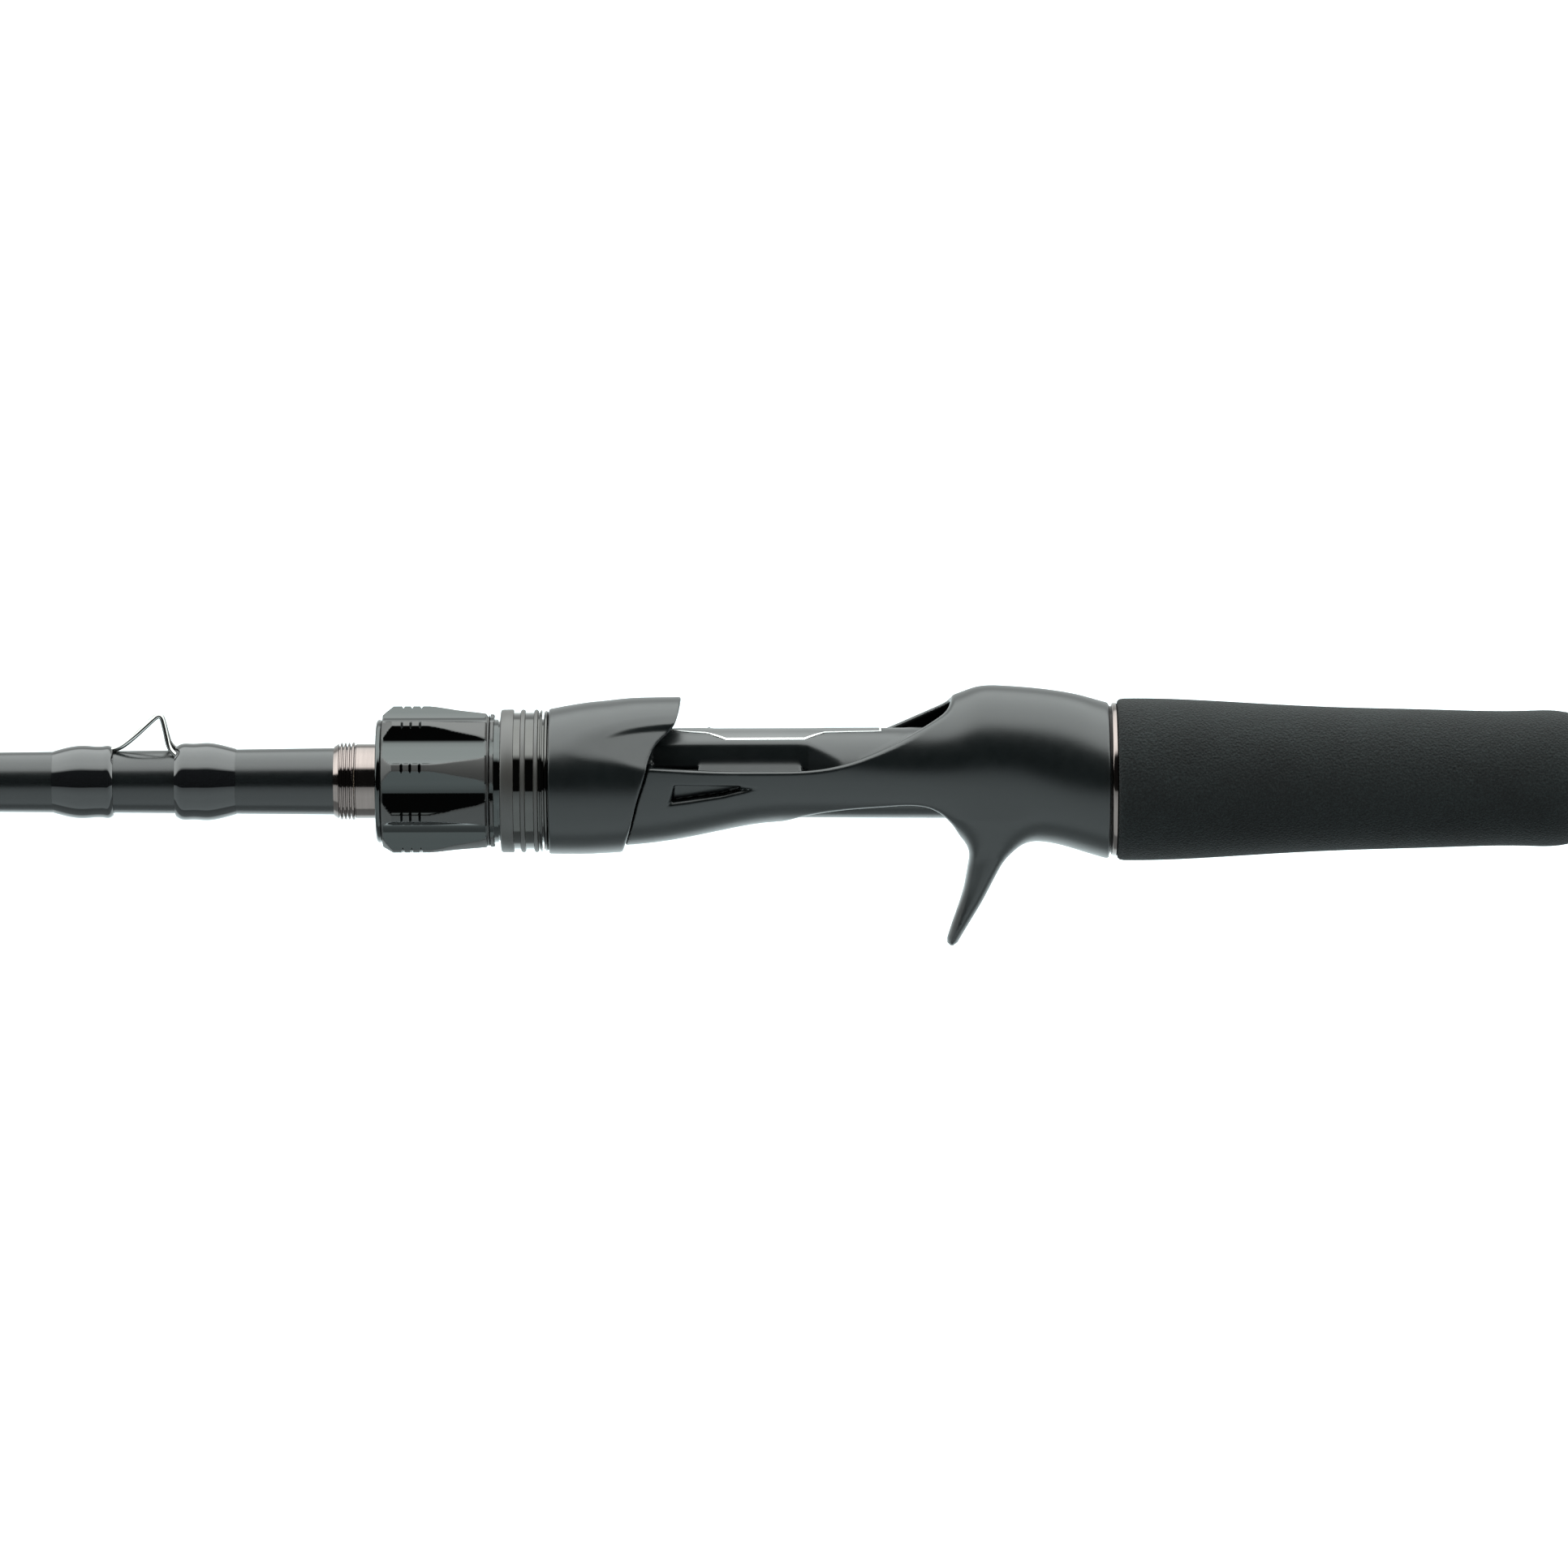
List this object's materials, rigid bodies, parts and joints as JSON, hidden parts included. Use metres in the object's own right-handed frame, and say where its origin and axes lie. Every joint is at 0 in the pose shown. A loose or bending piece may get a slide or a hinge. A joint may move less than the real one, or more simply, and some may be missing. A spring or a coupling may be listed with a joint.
{
  "type": "casting fishing rod",
  "caption": "One-piece casting rod with a split foam grip, a skeleton trigger reel seat with a sliding hood and lock nut, a hook keeper and line guides.",
  "frame": {"origin": "centre of the butt cap's end face, on the rod's axis", "axes": "+X along the rod's axis, out of the butt; the tip points to -X; +Z is the side of the reel and the line guides, the trigger hangs to -Z"},
  "size_m": [1.98, 0.0268, 0.0438],
  "materials": {
    "carbon": "satin clear-coated carbon fibre",
    "arbor_foam": "rigid foam",
    "seat_nylon": "fine satin moulded nylon",
    "saddle_plate": "satin",
    "silver_trim": "bright",
    "cushion_rubber": "matte",
    "rose_metal": "anodised gunmetal rose, semi-bright",
    "satin_metal": "satin anodised, warm grey",
    "bright_wire": "polished",
    "epoxy_wrap": "glossy epoxy over black thread",
    "black_trim": "gloss",
    "eva_foam": "fine-cell foam, matte",
    "butt_rubber": "matte",
    "weight_steel": "turned",
    "spring_steel": "bright",
    "black_chrome": "dark chrome plating",
    "brass_insert": "turned",
    "guide_metal": "dark plated stamped steel",
    "ceramic": "polished black ceramic"
  },
  "bodies": {
    "rod": {"blank": "carbon", "rear_arbor": "arbor_foam", "front_arbor": "arbor_foam", "seat_body": "seat_nylon", "seat_saddle": "saddle_plate", "seat_outline": "silver_trim", "rear_hood_liner": "cushion_rubber", "check_flanges": "rose_metal", "check_tube": "rose_metal", "hook_keeper": "bright_wire", "keeper_wrap_front": "epoxy_wrap", "keeper_wrap_rear": "epoxy_wrap", "trim_ring_black": "black_trim", "trim_ring_metal": "rose_metal", "front_grip": "eva_foam", "front_grip_ring": "rose_metal", "rear_grip": "eva_foam", "rear_grip_ring": "rose_metal", "butt_ring": "rose_metal", "butt_cap": "butt_rubber", "balance_weight": "weight_steel", "guide_1_frame": "guide_metal", "guide_1_ring": "ceramic", "guide_1_wraps": "epoxy_wrap", "guide_2_frame": "guide_metal", "guide_2_ring": "ceramic", "guide_2_wraps": "epoxy_wrap", "guide_3_frame": "guide_metal", "guide_3_ring": "ceramic", "guide_3_wraps": "epoxy_wrap", "guide_4_frame": "guide_metal", "guide_4_ring": "ceramic", "guide_4_wraps": "epoxy_wrap", "guide_5_frame": "guide_metal", "guide_5_ring": "ceramic", "guide_5_wraps": "epoxy_wrap", "guide_6_frame": "guide_metal", "guide_6_ring": "ceramic", "guide_6_wraps": "epoxy_wrap", "guide_7_frame": "guide_metal", "guide_7_ring": "ceramic", "guide_7_wraps": "epoxy_wrap", "guide_8_frame": "guide_metal", "guide_8_ring": "ceramic", "guide_8_wraps": "epoxy_wrap", "tip_top_frame": "guide_metal", "tip_top_ring": "ceramic", "tip_top_wrap": "epoxy_wrap"},
    "hood": {"hood_shell": "seat_nylon", "hood_cushion": "cushion_rubber", "hood_collar": "satin_metal", "hood_trim_ring": "satin_metal", "retaining_ring": "spring_steel"},
    "lock_nut": {"nut_shell": "black_chrome", "nut_front_ring": "black_chrome", "nut_thread_insert": "brass_insert", "nut_rear_lip": "black_chrome"}
  },
  "joints": [
    {"name": "hood_slide", "type": "slide", "parent": "rod", "child": "hood", "axis": [-1, 0, 0], "range_m": [0, 0.011]},
    {"name": "nut_spin", "type": "hinge", "parent": "hood", "child": "lock_nut", "pos_m": [-0.3476, 0, 0], "axis": [-1, 0, 0], "range_deg": [0, 1979.9]}
  ],
  "couplings": [
    {"joint": "hood_slide", "follows": "nut_spin", "m_per_rad": 0.00031831}
  ]
}
